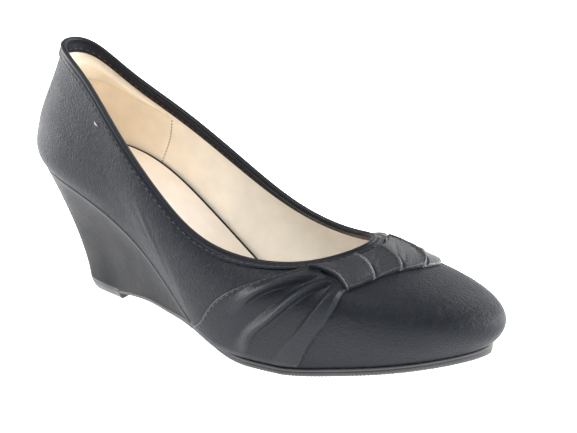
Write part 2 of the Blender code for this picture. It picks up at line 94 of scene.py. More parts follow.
def smooth_curve(table, at, closed=False):
    """Cubic spline through a table's first column: second slopes solve the usual three-term rows."""
    knot, value = table[:, 0], table[:, 1:]
    count = len(knot)
    step = np.diff(np.r_[knot, knot[0] + 1.0]) if closed else np.diff(knot)
    rows = np.eye(count)
    right = np.zeros_like(value)
    for i in range(0 if closed else 1, count if closed else count - 1):
        before, after = (i - 1) % count, (i + 1) % count
        rows[i] = 0.0
        rows[i, before] += step[before]
        rows[i, i] += 2.0 * (step[before] + step[i])
        rows[i, after] += step[i]
        right[i] = 6.0 * ((value[after] - value[i]) / step[i] - (value[i] - value[before]) / step[before])
    bend = np.linalg.solve(rows, right)
    at = np.asarray(at, float)
    here = (at - knot[0]) % 1.0 + knot[0] if closed else np.clip(at, knot[0], knot[-1])
    i = np.clip(np.searchsorted(knot, here, side="right") - 1, 0, len(step) - 1)
    j = (i + 1) % count
    wide = step[i][:, None]
    a = (knot[i] + step[i] - here)[:, None] / wide
    b = 1.0 - a
    return a * value[i] + b * value[j] + ((a**3 - a) * bend[i] + (b**3 - b) * bend[j]) * wide**2 / 6.0


def x_of(share):
    """Distance along the shoe of a share of the last's length, counted from the back of the heel."""
    return share * LENGTH - HEEL_CENTRE


def share_of(x):
    """Share of the last's length, counted from the back of the heel, of a distance along the shoe."""
    return (x + HEEL_CENTRE) / LENGTH


def foot_height(x):
    """Height of the foot line over the floor at a distance x along the shoe."""
    share = smooth_curve(FOOT_LINE, share_of(np.ravel(x)))
    rise = (SEAT_HEIGHT - SOLE) * np.maximum(share[:, 0], 0.0) + TOE_SPRING * np.maximum(share[:, 1], 0.0)
    return (SOLE + rise).reshape(np.shape(x))


def foot_level(x, offset):
    """Height at x of the foot surface moved by offset at right angles to its own slope."""
    step = 0.001
    slope = (foot_height(x + step) - foot_height(x - step)) / (2.0 * step)
    return foot_height(x) + offset * np.sqrt(1.0 + slope**2)


def plan_outward(around, column):
    """Unit plan normal of the foot line (column 0) or the collar (6): its direction turned a quarter."""
    step = 0.002
    ahead = smooth_curve(LAST, around + step, True)[:, column:column + 2]
    behind = smooth_curve(LAST, around - step, True)[:, column:column + 2]
    way = (ahead - behind) * (LENGTH, BALL_WIDTH)
    way /= np.linalg.norm(way, axis=1)[:, None]
    return np.c_[way[:, 1], -way[:, 0]]


def last_rails(around):
    """Foot, belly, crown and collar points of the wall at each place round the foot."""
    share = smooth_curve(LAST, around, True)
    foot_x = x_of(share[:, 0])
    foot = np.c_[foot_x, share[:, 1] * BALL_WIDTH, foot_height(foot_x)]
    collar_height = share[:, 8] * (SEAT_HEIGHT + BACK_HEIGHT)
    collar = np.c_[x_of(share[:, 6]), share[:, 7] * BALL_WIDTH, collar_height]
    foot_out, collar_out = plan_outward(around, 0), plan_outward(around, 6)
    belly = foot + np.c_[foot_out * share[:, 2:3] * BALL_WIDTH, share[:, 3] * WALL_RISE]
    crown = collar + np.c_[collar_out * share[:, 4:5] * BALL_WIDTH, share[:, 5] * WALL_RISE]
    return foot, belly, crown, collar


def last_point(around, up):
    """Point of the wall: a cubic Bezier from the foot line, up = 0, to the collar, up = 1."""
    around = np.asarray(around, float)
    foot, belly, crown, collar = (rail.reshape(around.shape + (3,)) for rail in last_rails(around.ravel()))
    t = np.asarray(up, float)[..., None]
    return foot * (1 - t) ** 3 + 3 * belly * (1 - t) ** 2 * t + 3 * crown * (1 - t) * t**2 + collar * t**3


def wall_normal(around, up):
    """Outward unit normal of the wall, the cross product of its two directions."""
    step = 0.001
    around, up = np.asarray(around, float), np.asarray(up, float)
    along = last_point(around + step, up) - last_point(around - step, up)
    rise = last_point(around, np.minimum(up + step, 1.0)) - last_point(around, np.maximum(up - step, 0.0))
    normal = np.cross(along, rise)
    return normal / np.linalg.norm(normal, axis=-1)[..., None]


def wall_point(around, up, out):
    """Wall point moved out along the wall's normal."""
    return last_point(around, up) + wall_normal(around, up) * np.asarray(out, float)[..., None]


def below_collar(around, drop):
    """How far up the wall a point lies that is a distance drop down the wall from the collar."""
    around, drop = np.broadcast_arrays(np.asarray(around, float), np.asarray(drop, float))
    up = np.linspace(1.0, 0.0, 161)
    line = last_point(around.ravel()[:, None], up[None, :])
    length = np.cumsum(np.linalg.norm(np.diff(line, axis=1), axis=2), axis=1)
    length = np.concatenate([np.zeros((len(length), 1)), length], axis=1)
    i = np.clip((length < drop.ravel()[:, None]).sum(1) - 1, 0, len(up) - 2)
    pick = np.arange(len(i))
    share = (drop.ravel() - length[pick, i]) / (length[pick, i + 1] - length[pick, i])
    return (up[i] + share * (up[i + 1] - up[i])).reshape(around.shape)


# Upper: thin imitation leather, charcoal with a fine crinkled grain. It is drawn over the last and its
# lower edge is turned in under the foot, so one profile runs from the collar down the outside, in under
# the foot and back up the inside of the leather. Its creases are troughs and ridges laid along lines.
LEATHER = 0.0008
MARGIN = 0.008
GRAIN = 0.0009
CLOSE = 0.0001
CREASE_COLUMNS = (
    "start_around", "start_up", "middle_around", "middle_up", "end_around", "end_up", "wide", "deep",
)
CREASES = np.array([
    (0.025, 0.34, 0.055, 0.40, 0.095, 0.37, 0.0060, 0.00045),
    (0.060, 0.62, 0.085, 0.55, 0.120, 0.57, 0.0050, 0.00025),
    (0.110, 0.25, 0.145, 0.30, 0.185, 0.24, 0.0055, 0.00035),
    (0.150, 0.52, 0.172, 0.44, 0.190, 0.33, 0.0022, 0.00012),
    (0.205, 0.60, 0.214, 0.48, 0.220, 0.34, 0.0016, 0.00016),
    (0.217, 0.68, 0.228, 0.52, 0.236, 0.36, 0.0014, -0.00014),
    (0.230, 0.66, 0.240, 0.54, 0.249, 0.40, 0.0016, 0.00016),
    (0.240, 0.44, 0.247, 0.32, 0.252, 0.18, 0.0018, 0.00014),
    (0.252, 0.30, 0.256, 0.20, 0.262, 0.10, 0.0018, -0.00012),
    (0.760, 0.60, 0.770, 0.45, 0.778, 0.30, 0.0020, 0.00016),
    (0.800, 0.66, 0.808, 0.50, 0.814, 0.34, 0.0018, 0.00014),
    (0.885, 0.40, 0.915, 0.44, 0.950, 0.40, 0.0060, 0.00040),
    (0.430, 0.42, 0.470, 0.50, 0.520, 0.50, 0.0070, 0.00030),
    (0.555, 0.46, 0.580, 0.40, 0.600, 0.32, 0.0045, 0.00030),
])


def crease_relief(points, creases):
    """Relief of the creases on a grid of wall points: each trough is a bell across a bent line on the
    wall, deepest along its middle, and a negative depth makes a ridge."""
    relief = np.zeros(points.shape[:-1])
    way = np.linspace(0.0, 1.0, 25)
    bends = np.c_[(1 - way) ** 2, 2 * way * (1 - way), way**2]
    for crease in creases:
        line = last_point(bends @ crease[0:6:2], bends @ crease[1:6:2])
        near = np.full(relief.shape, -1.0)
        for place, strength in zip(line, np.sin(np.pi * way) ** 0.7):
            away = ((points - place) ** 2).sum(-1)
            near = np.maximum(near, strength * np.exp(-away / crease[6] ** 2))
        relief -= crease[7] * near
    return relief


def set_mesh(name, points, faces, material):
    """A named piece from an array of points and an array of four-cornered faces, shaded smooth."""
    mesh = bpy.data.meshes.new(name)
    mesh.from_pydata(points.reshape(-1, 3), [], faces)
    mesh.shade_smooth()
    mesh.materials.append(material)
    piece = bpy.data.objects.new(name, mesh)
    bpy.context.scene.collection.objects.link(piece)
    return piece


def grid_faces(rows, columns, rows_close=False, columns_close=False):
    """Faces between neighbours of a grid of points numbered row by row, each way closed if asked."""
    a = np.arange(rows if rows_close else rows - 1)[:, None]
    b = np.arange(columns if columns_close else columns - 1)[None, :]
    a_next, b_next = (a + 1) % rows, (b + 1) % columns
    corners = (a * columns + b, a_next * columns + b, a_next * columns + b_next, a * columns + b_next)
    return np.stack(np.broadcast_arrays(*corners), axis=-1).reshape(-1, 4)


def set_inputs(tree, node, inputs):
    """Gives each named input of a shader node a number or a colour, or joins it to another's output."""
    for name, value in inputs.items():
        socket = node.inputs[name]
        if isinstance(value, bpy.types.NodeSocket):
            tree.links.new(value, socket)
        else:
            socket.default_value = (*value, 1.0) if socket.type == "RGBA" else value


def new_node(tree, kind, inputs, **settings):
    """Adds a shader node of a kind to a tree, with its settings and its inputs."""
    node = tree.nodes.new("ShaderNode" + kind)
    for name, value in settings.items():
        setattr(node, name, value)
    set_inputs(tree, node, inputs)
    return node


def maths(tree, operation, *values):
    """Output of a maths node that works on numbers or other nodes' outputs."""
    return new_node(tree, "Math", dict(enumerate(values)), operation=operation).outputs[0]


def noise(tree, place, scale, detail):
    """Share from noise of a scale and a detail."""
    return new_node(tree, "TexNoise", {"Vector": place, "Scale": scale, "Detail": detail}).outputs["Fac"]


def middle_range(tree, share, low, high):
    """Number that goes from low to high over the middle of a noise's range, where most of it lies."""
    ends = {"Value": share, "From Min": 0.3, "From Max": 0.7, "To Min": low, "To Max": high}
    return new_node(tree, "MapRange", ends).outputs["Result"]


def mix_colour(tree, share, first, second):
    """Colour between a first and a second one by a share."""
    return new_node(tree, "Mix", {0: share, 6: first, 7: second}, data_type="RGBA").outputs[2]


def painted(tree, name):
    """Share that is painted on a piece's points under a name."""
    return new_node(tree, "Attribute", {}, attribute_name=name).outputs["Fac"]


def bumped(tree, height, depth):
    """Normal of a surface with a fine relief of a depth."""
    return new_node(tree, "Bump", {"Height": height, "Distance": depth}).outputs["Normal"]


def new_group(name, inputs, outputs):
    """A node group with named inputs and outputs: its tree, what comes in, and the node that takes what
    goes out."""
    tree = bpy.data.node_groups.new(name, "ShaderNodeTree")
    for label, kind in inputs.items():
        tree.interface.new_socket(name=label, in_out="INPUT", socket_type="NodeSocket" + kind)
    for label in outputs:
        tree.interface.new_socket(name=label, in_out="OUTPUT", socket_type="NodeSocketFloat")
    return tree, tree.nodes.new("NodeGroupInput").outputs, tree.nodes.new("NodeGroupOutput")


def new_material(name):
    """A named material, its tree, its shader, and the place on the piece that its patterns go by."""
    material = bpy.data.materials.new(name)
    material.use_nodes = True
    tree = material.node_tree
    place = tree.nodes.new("ShaderNodeTexCoord").outputs["Object"]
    return material, tree, tree.nodes["Principled BSDF"], place


def leather_grain_group():
    """Crinkled grain: small rounded cells, their edges pulled about by noise, over longer wrinkles."""
    inputs = {"Position": "Vector", "Cell size": "Float", "Wrinkles": "Float"}
    tree, given, result = new_group("crinkled grain", inputs, ("Height", "Wear"))
    place = given["Position"]
    pull = new_node(tree, "TexNoise", {"Vector": place, "Scale": 420.0, "Detail": 2.0}).outputs["Color"]
    pulled = new_node(
        tree, "VectorMath", {0: pull, 1: (0.0012, 0.0012, 0.0012), 2: place}, operation="MULTIPLY_ADD"
    ).outputs["Vector"]
    fine = maths(tree, "DIVIDE", 1.0, given["Cell size"])
    cells = new_node(
        tree, "TexVoronoi", {"Vector": pulled, "Scale": fine, "Smoothness": 0.35}, feature="SMOOTH_F1"
    ).outputs["Distance"]
    stretched = new_node(
        tree, "Mapping", {"Vector": place, "Rotation": (0.3, 0.5, 0.2), "Scale": (1.0, 0.8, 0.9)}
    ).outputs["Vector"]
    long = new_node(
        tree, "TexNoise", {"Vector": stretched, "Scale": 300.0, "Detail": 3.0, "Distortion": 1.6}
    ).outputs["Fac"]
    ridge = maths(tree, "MULTIPLY", maths(tree, "PINGPONG", long, 0.12), given["Wrinkles"])
    height = maths(tree, "MULTIPLY_ADD", cells, -0.9, maths(tree, "MULTIPLY", ridge, 7.0))
    set_inputs(tree, result, {"Height": height, "Wear": noise(tree, place, 60.0, 4.0)})
    return tree


crinkled_grain = leather_grain_group()
# Colour of the painted highlights: lit folded edges, fold crests and tuck beads are drawn towards it.
PAINTED_HIGHLIGHT = (0.12, 0.125, 0.135)


def leather(name, dark, light, rough, cell, wrinkles, depth, coat, shine=0.20):
    """Imitation leather: colour between dark and light by slow wear, paler where a painted share lays a
    painted highlight on a lit edge, crest or bead, grain as bump, a thin satin coat and some shine of its
    own."""
    material, tree, shader, place = new_material(name)
    given = {"Position": place, "Cell size": cell, "Wrinkles": wrinkles}
    grain = new_node(tree, "Group", given, node_tree=crinkled_grain).outputs
    colour = mix_colour(tree, grain["Wear"], dark, light)
    set_inputs(tree, shader, {
        "Base Color": mix_colour(tree, painted(tree, "painted_highlight"), colour, PAINTED_HIGHLIGHT),
        "Roughness": middle_range(tree, grain["Wear"], rough - 0.05, rough + 0.07),
        "Normal": bumped(tree, grain["Height"], depth),
        "Specular IOR Level": shine,
        "Sheen Weight": 0.10,
        "Sheen Roughness": 0.18,
        "Coat Weight": coat,
        "Coat Roughness": 0.42,
    })
    return material


UPPER_DARK = (0.0045, 0.0062, 0.0105)
UPPER_LIGHT = (0.0085, 0.0112, 0.0165)
upper_leather = leather("upper leather", UPPER_DARK, UPPER_LIGHT, 0.50, GRAIN, 0.55, 0.00020, 0.03)

PLACES = 600
MARGIN_COLUMNS = ("inward", "lift")
MARGIN_PROFILE = ((0.0009, 0.0), (0.3 * MARGIN, 0.0), (MARGIN, 0.0), (MARGIN, LEATHER), (0.0030, LEATHER))
round_foot = np.arange(PLACES) / PLACES
drawn_rise = np.linspace(1.0, 0.0, 96)[None, :]
bare_wall = last_point(round_foot[:, None], drawn_rise)
rounded_in = 0.0002 * (1.0 - np.clip(drawn_rise / 0.03, 0.0, 1.0)) ** 2
creased = wall_point(round_foot[:, None], drawn_rise, crease_relief(bare_wall, CREASES) - rounded_in)
foot_line = last_rails(round_foot)[0]
foot_side = plan_outward(round_foot, 0)
turned_in = []
for inward, lift in MARGIN_PROFILE:
    plan = foot_line[:, :2] - foot_side * inward
    turned_in.append(np.c_[plan, foot_level(plan[:, 0], lift)])
leather_back = wall_point(round_foot[:, None], np.linspace(0.06, 1.0, 14)[None, :], -LEATHER)
upper_profile = np.concatenate([creased, np.stack(turned_in, axis=1), leather_back], axis=1)
upper_faces = grid_faces(*upper_profile.shape[:2], True, True)[:, ::-1]
upper = set_mesh("upper_leather", upper_profile, upper_faces, upper_leather)
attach(upper, "root")
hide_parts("upper")

# Lining: a pale synthetic, glued inside the upper from the collar down to the foot. A darker heel piece
# with a soft nap is sewn to the front piece on each side, a thin pad fills it out under the collar at
# the heel, and painted shade darkens it in the crease under the pad and along the foot.
WALL = 0.0015
HEEL_PAD = 0.0026
HEEL_LINING = (0.85, 0.74, 0.59)
FRONT_LINING = (0.97, 0.94, 0.87)
SEAM_COLUMNS = ("up", "from_heel")
LINING_SEAM = np.array([(0.0, 0.113), (0.2, 0.120), (0.65, 0.146), (1.0, 0.168)])
PAD_TOP, PAD_FOOT, PAD_HALF = 0.12, 0.33, 0.15


def from_heel(around):
    """Place round the foot counted from the back of the heel, the same on both sides."""
    return np.minimum(around % 1.0, 1.0 - around % 1.0)


def bell(away, wide, power=2):
    """Bell curve: 1 where away is 0 and falling on both sides, with a flatter top at a higher power."""
    return np.exp(-((away / wide) ** power))


def nap_group():
    """Nap of a thin synthetic lining: fine fibres as small noise, and slow patches worn by rubbing as large
    noise.
    """
    tree, given, result = new_group("short nap", {"Position": "Vector"}, ("Height", "Rubbed"))
    place = given["Position"]
    patches = new_node(tree, "TexNoise", {"Vector": place, "Scale": 70.0, "Detail": 5.0, "Roughness": 0.6})
    set_inputs(tree, result, {"Height": noise(tree, place, 2600.0, 3.0), "Rubbed": patches.outputs["Fac"]})
    return tree


short_nap = nap_group()


def lining_cloth(name, first, second, attribute, rough):
    """Lining synthetic: two colours divided by a painted share, mottled by rubbing and darker where a
    painted share lays painted shade on it, with a short nap."""
    material, tree, shader, place = new_material(name)
    nap = new_node(tree, "Group", {"Position": place}, node_tree=short_nap).outputs
    mottle = middle_range(tree, nap["Rubbed"], 0.93, 1.05)
    bright = maths(tree, "MULTIPLY_ADD", painted(tree, "painted_shade"), -0.3, mottle)
    colour = mix_colour(tree, painted(tree, attribute), first, second)
    set_inputs(tree, shader, {
        "Base Color": new_node(tree, "HueSaturation", {"Value": bright, "Color": colour}).outputs["Color"],
        "Roughness": rough,
        "Sheen Weight": 0.15,
        "Normal": bumped(tree, nap["Height"], 0.00006),
    })
    return material


def paint(piece, name, share):
    """Stores a number at every point of a piece, for its material to read."""
    piece.data.attributes.new(name, "FLOAT", "POINT").data.foreach_set("value", share.ravel())


lining_rise = np.linspace(0.985, 0.012, 90)
back_rise = lining_rise[::-12]
heel_way = from_heel(round_foot)[:, None]
seam_way = smooth_curve(LINING_SEAM, lining_rise)[:, 0][None, :]
drop_share = (1.0 - lining_rise)[None, :]
pad_end = PAD_FOOT - 0.15 * np.clip(heel_way / 0.14, 0.0, 1.0) ** 1.5
pad_rise = np.clip((drop_share - PAD_TOP) / 0.06, 0.0, 1.0)
pad_rise = pad_rise * np.clip((pad_end - drop_share) / 0.035 + 0.5, 0.0, 1.0)
heel_pad = pad_rise**2 * (3.0 - 2.0 * pad_rise) * bell(heel_way, PAD_HALF, 6)
pad_foot = bell(drop_share - pad_end - 0.03, 0.02) * bell(heel_way, PAD_HALF, 6)
seam_ridge = bell((heel_way - seam_way) * 0.55, 0.0011)
lining_out = -WALL - HEEL_PAD * heel_pad + 0.0003 * pad_foot - 0.00008 * seam_ridge
lining_front = wall_point(round_foot[:, None], lining_rise[None, :], lining_out)
lining_back = wall_point(round_foot[:, None], back_rise[None, :], -LEATHER - CLOSE)
lining_profile = np.concatenate([lining_back, lining_front], axis=1)
lining_synthetic = lining_cloth("lining synthetic", FRONT_LINING, HEEL_LINING, "heel piece", 0.85)
lining_faces = grid_faces(*lining_profile.shape[:2], True, True)
lining = set_mesh("lining", lining_profile, lining_faces, lining_synthetic)
heel_piece = 0.12 * np.clip((seam_way - heel_way) / 0.0015, 0.0, 1.0) + 0.88 * bell(heel_way, 0.24, 3)
# Painted shade: darker in the crease under the heel pad and along the foot of the lining.
crease_shade = 0.55 * bell(drop_share - pad_end - 0.012, 0.022) * bell(heel_way - 0.02, 0.13, 6)
painted_shade_share = np.maximum(crease_shade, 0.5 * bell(1.0 - drop_share, 0.06))
bare_back = np.zeros((PLACES, len(back_rise)))
paint(lining, "heel piece", np.concatenate([bare_back, heel_piece], axis=1))
paint(lining, "painted_shade", np.concatenate([bare_back, painted_shade_share], axis=1))
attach(lining, "root")

# Insole: a dark fibre board glued on the turned-in margin, and on it a padded beige sock. The board's
# edge stands up a little round the sock, which is the thin black line inside the shoe.
GAP = 0.0003
SOCK = 0.0024
SOCK_COLOUR = (0.84, 0.75, 0.65)
SOCK_WORN = (0.80, 0.68, 0.56)


def foot_outline(inset):
    """Foot line in plan, moved in by inset."""
    around = np.linspace(0.0, 1.0, 1601)[:-1]
    return last_rails(around)[0][:, :2] - plan_outward(around, 0) * inset


def foot_edges(x, inset):
    """Outer and inner edges in plan of the foot line moved in by inset, at distances x."""
    line = foot_outline(inset)
    line = np.roll(line, -int(line[:, 0].argmin()), axis=0)
    toe = int(line[:, 0].argmax())
    outer, inner = line[:toe + 1], line[toe:][::-1]
    return np.interp(x, outer[:, 0], outer[:, 1]), np.interp(x, inner[:, 0], inner[:, 1])


def foot_ends(inset):
    """Rearmost and foremost x of the foot line moved in by inset."""
    x = foot_outline(inset)[:, 0]
    return float(x.min()), float(x.max())


def close_at_ends(count, late=0.0):
    """Places from 0 to 1 that lie close together at both ends, half a cosine wave cut late by an angle."""
    return (1.0 - np.cos(np.linspace(late, np.pi - late, count))) / 2.0


def foot_sheet(inset, rows, columns, edge):
    """Places in plan on the foot surface inside the foot line moved in by inset, and how far each is
    from the edge: rows lie close together at both ends, and columns at both sides."""
    rear, toe = foot_ends(inset)
    x = rear + (toe - rear) * close_at_ends(rows, 0.012)
    outer, inner = foot_edges(x, inset)
    y = outer[:, None] + (inner - outer)[:, None] * close_at_ends(columns)[None, :]
    x = np.broadcast_to(x[:, None], y.shape)
    sides = np.minimum(y - outer[:, None], inner[:, None] - y)
    ends = np.minimum(x - rear, toe - x)
    return x, y, np.clip(np.minimum(sides, ends) / edge, 0.0, 1.0)


def slab_piece(name, lower, upper, material):
    """Closed piece between two grids of points of the same shape."""
    rows, columns = lower.shape[:2]
    size = rows * columns
    edge = np.concatenate([
        np.arange(columns),
        np.arange(1, rows) * columns + columns - 1,
        (rows - 1) * columns + np.arange(columns - 2, -1, -1),
        np.arange(rows - 2, 0, -1) * columns,
    ])
    after = np.roll(edge, -1)
    faces = np.concatenate([
        grid_faces(rows, columns)[:, ::-1],
        grid_faces(rows, columns) + size,
        np.stack([edge, edge + size, after + size, after], axis=-1),
    ])
    return set_mesh(name, np.concatenate([lower.reshape(-1, 3), upper.reshape(-1, 3)]), faces, material)


board_dark, tree, shader, place = new_material("board edge")
mottle = noise(tree, place, 900.0, 2.0)
board_colour = mix_colour(tree, mottle, (0.008, 0.008, 0.009), (0.022, 0.021, 0.020))
set_inputs(tree, shader, {"Base Color": board_colour, "Roughness": 0.8})

x, y, inward = foot_sheet(WALL + 2.0 * GAP, 260, 60, 0.0008)
board_under = np.stack([x, y, foot_level(x, WALL + GAP)], axis=-1)
board_top = np.stack([x, y, foot_level(x, WALL + GAP + SOCK * (0.45 + 0.62 * (1.0 - inward)))], axis=-1)
board = slab_piece("insole_board", board_under, board_top, board_dark)
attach(board, "root")
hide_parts("insole")

x, y, inward = foot_sheet(WALL + 2.0 * GAP + 0.0008, 260, 70, 0.0012)
outer, inner = foot_edges(x[:, 0], 0.0)
middle = (y - (outer + inner)[:, None] / 2.0) / (inner - outer)[:, None]
heel_cup = 0.0007 * bell(x, 0.022) * np.clip(1.0 - (3.0 * middle) ** 2, 0.0, 1.0)
round_edge = np.sqrt(np.clip(1.0 - (1.0 - inward) ** 2, 0.0, 1.0))
sock_high = WALL + GAP + SOCK * (0.50 + 0.60 * round_edge) - heel_cup
sock_under = np.stack([x, y, foot_level(x, WALL + GAP + SOCK * 0.46)], axis=-1)
sock_top = np.stack([x, y, foot_level(x, sock_high)], axis=-1)
sock_synthetic = lining_cloth("sock synthetic", SOCK_COLOUR, SOCK_WORN, "worn", 0.75)
sock = slab_piece("sock", sock_under, sock_top, sock_synthetic)
worn = bell(x, 0.03) * 0.7 + 0.4 * bell(x - 0.10, 0.03)
paint(sock, "worn", np.concatenate([worn, worn]))
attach(sock, "root")

# Topline binding: a strip of thin dark leather folded over the collar on a thin cord, which makes the
# round edge. Its outer leg is topstitched to the upper, and its deeper inner leg is the dark facing.
BINDING = 0.0005
BINDING_OUTSIDE = 0.0046
BINDING_INSIDE = 0.0066
CORD_ROUND = 0.00125
TOPSTITCH_DROP = 0.0036
FACING_DROP = 0.0045

collar_top = last_point(round_foot, 1.0)
collar_side = wall_normal(round_foot, 1.0)
collar_up = collar_top - last_point(round_foot, below_collar(round_foot, 0.001))
collar_up /= np.linalg.norm(collar_up, axis=1)[:, None]


def by_collar(out, up):
    """Points beside the collar, out along its normal and up along the wall's own direction."""
    return collar_top + collar_side * out + collar_up * up


def down_wall(drop, out):
    """Points that are drop below the collar down the wall and out along its normal."""
    return wall_point(round_foot, below_collar(round_foot, drop), out)


strip = GAP + BINDING
facing_out = -WALL - GAP - BINDING
LEG_COLUMNS = ("drop", "out")
OUTER_LEG = (
    (BINDING_OUTSIDE - 0.0006, GAP * 0.3),
    (BINDING_OUTSIDE, GAP * 0.4),
    (BINDING_OUTSIDE, strip * 0.75),
    (BINDING_OUTSIDE - 0.00035, strip),
    (0.0040, strip * 0.85),
    (TOPSTITCH_DROP, strip * 0.62),
    (0.0032, strip * 0.80),
    (0.0028, strip * 0.90),
    (0.0023, strip * 0.85),
    (0.0019, strip * 0.60),
    (0.0015, strip * 0.60),
)
INNER_LEG = (
    (0.0027, facing_out + 0.0001),
    (0.0040, facing_out),
    (BINDING_INSIDE - 0.0010, facing_out - 0.0001),
    (BINDING_INSIDE - 0.0003, facing_out - 0.0001),
    (BINDING_INSIDE, facing_out + 0.00015),
    (BINDING_INSIDE, facing_out + 0.0006),
    (0.0030, -WALL - CLOSE),
)
cord_turn = np.radians(np.linspace(-55.0, 215.0, 17))
cord_out = -WALL / 2.0 + (CORD_ROUND + 0.00025) * np.cos(cord_turn)
cord_up = -0.00025 + CORD_ROUND * np.sin(cord_turn)
rows = [down_wall(drop, out) for drop, out in OUTER_LEG]
rows += [by_collar(out, up) for out, up in zip(cord_out, cord_up)]
rows += [down_wall(drop, out) for drop, out in INNER_LEG]
rows += [by_collar(out, up) for out, up in ((-WALL, -0.0012), (-WALL / 2.0, -0.0006), (0.0, -0.0012))]
rows.append(down_wall(0.0032, GAP * 0.3))
binding_profile = np.stack(rows, axis=1)
BINDING_DARK, BINDING_LIGHT = (0.003, 0.0045, 0.0085), (0.006, 0.0082, 0.0135)
binding_leather = leather("binding leather", BINDING_DARK, BINDING_LIGHT, 0.42, 0.0007, 0.2, 0.00010, 0.04)
binding_faces = grid_faces(*binding_profile.shape[:2], True, True)
binding = set_mesh("topline_binding_strip", binding_profile, binding_faces, binding_leather)
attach(binding, "root")
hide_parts("topline_binding")

# Thread: polyester, black through the leather and beige in the lining, in rows of lockstitch. Each
# stitch is a short bead that dips into its two holes.


def thread(name, colour, rough):
    """Twisted thread: a plain dark or light fibre with fine strands as bump."""
    material, tree, shader, place = new_material(name)
    strands = new_node(tree, "TexWave", {"Vector": place, "Scale": 1800.0, "Distortion": 1.0})
    strands = strands.outputs["Fac"]
    set_inputs(tree, shader, {
        "Base Color": mix_colour(tree, strands, [value * 0.7 for value in colour], colour),
        "Roughness": rough,
        "Normal": bumped(tree, strands, 0.00004),
    })
    return material


def stitch_row(name, line, side, long, space, thick, material):
    """Row of stitches on a line of surface points with their normals: places at equal lengths along the
    line, and at each a six-sided spindle whose middle stands proud and whose ends dip in."""
    length = np.r_[0.0, np.cumsum(np.linalg.norm(np.diff(line, axis=0), axis=1))]
    count = int(length[-1] / (long + space))
    start = (np.arange(count) + 0.5) * length[-1] / count
    along = np.linspace(-1.0, 1.0, 7)
    at = start[:, None] + along[None, :] * long / 2.0
    centre = np.stack([np.interp(at, length, line[:, k]) for k in range(3)], axis=-1)
    normal = np.stack([np.interp(at, length, side[:, k]) for k in range(3)], axis=-1)
    normal /= np.linalg.norm(normal, axis=-1)[..., None]
    ahead = centre[:, -1:] - centre[:, :1]
    ahead = ahead / np.linalg.norm(ahead, axis=-1)[..., None]
    beside = np.cross(ahead, normal)
    width = thick * np.sqrt(1.0 - 0.92 * along**4)
    centre = centre + normal * (thick * (0.45 - 1.1 * along**4))[None, :, None]
    turn = np.radians(60.0) * np.arange(6)
    ring = normal[:, :, None] * np.cos(turn)[:, None] + beside[:, :, None] * np.sin(turn)[:, None]
    points = centre[:, :, None] + ring * width[None, :, None, None]
    tube = grid_faces(7, 6, False, True)[:, ::-1]
    caps = np.array([(3, 2, 1, 0), (5, 4, 3, 0), (36, 37, 38, 39), (36, 39, 40, 41)])
    faces = np.concatenate([tube, caps])[None] + (np.arange(count) * 42)[:, None, None]
    return set_mesh(name, points, faces.reshape(-1, 4), material)


STITCH, STITCH_SPACE = 0.0021, 0.0013
black_thread = thread("black thread", (0.030, 0.031, 0.036), 0.38)
beige_thread = thread("beige thread", (0.15, 0.115, 0.08), 0.7)
closed = np.r_[np.arange(PLACES), 0]
outside_row = down_wall(TOPSTITCH_DROP, strip * 0.72)[closed]
inside_row = down_wall(FACING_DROP, facing_out)[closed]
wall_side = wall_normal(round_foot, 0.95)[closed]
lining_stitches = []
up = np.linspace(0.05, 0.86, 60)
for heel in (0.0, 1.0):
    place = np.abs(heel - smooth_curve(LINING_SEAM, up)[:, 0] - 0.0022)
    lining_stitches.append((wall_point(place, up, -WALL - CLOSE), -wall_normal(place, up)))
for name, line, side, long, space, thick, material in (
    ("topline_stitches", outside_row, wall_side, STITCH, STITCH_SPACE, 0.00026, black_thread),
    ("facing_stitches", inside_row, -wall_side, STITCH, STITCH_SPACE, 0.00022, black_thread),
    ("lining_stitches_outer", *lining_stitches[0], 0.0008, 0.0011, 0.00028, beige_thread),
    ("lining_stitches_inner", *lining_stitches[1], 0.0008, 0.0011, 0.00028, beige_thread),
):
    stitches = stitch_row(name, line, side, long, space, thick, material)
    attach(stitches, "root")

# A loose end of pale thread lies beside the binding near the heel.
pale_thread = thread("pale thread", (0.75, 0.74, 0.71), 0.7)
around, up = np.array([0.1385, 0.1445, 0.1505]), np.array([0.846, 0.838, 0.850])
line = wall_point(around, up, 0.0004)
loose_end = stitch_row("loose_thread", line, wall_normal(around, up), 0.0028, 0.0002, 0.00025, pale_thread)
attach(loose_end, "root")

# Pleated panels: one each side of the throat, soft leather gathered from the foot to the band. Its two
# side edges are folded under and topstitched, and three folds fan out from the band: a broad roll
# along the rear seam, a narrow sharp one, and a flat one along the front seam.
PLEAT = 0.0010
STITCHES_IN = 0.0014
PLEAT_COLUMNS = ("way_up", "rear_around", "rear_up", "front_around", "front_up")
PLEAT_SEAMS = np.array([
    (0.00, 0.262, 0.02, 0.3745, 0.02),
    (0.25, 0.298, 0.33, 0.389, 0.195),
    (0.50, 0.338, 0.57, 0.409, 0.365),
    (0.75, 0.379, 0.77, 0.4265, 0.515),
    (1.00, 0.4235, 0.94, 0.4430, 0.675),
])
FOLD_COLUMNS = ("way_up", "crest", "rear_wide", "front_wide", "high")
BROAD_ROLL = np.array([
    (0.00, 0.22, 0.16, 0.08, 0.0000),
    (0.38, 0.21, 0.16, 0.07, 0.0001),
    (0.52, 0.21, 0.17, 0.05, 0.0015),
    (0.66, 0.20, 0.18, 0.055, 0.0031),
    (0.78, 0.23, 0.21, 0.07, 0.0040),
    (0.90, 0.30, 0.28, 0.10, 0.0034),
    (0.99, 0.33, 0.29, 0.17, 0.0014),
    (1.06, 0.36, 0.30, 0.22, 0.0006),
])
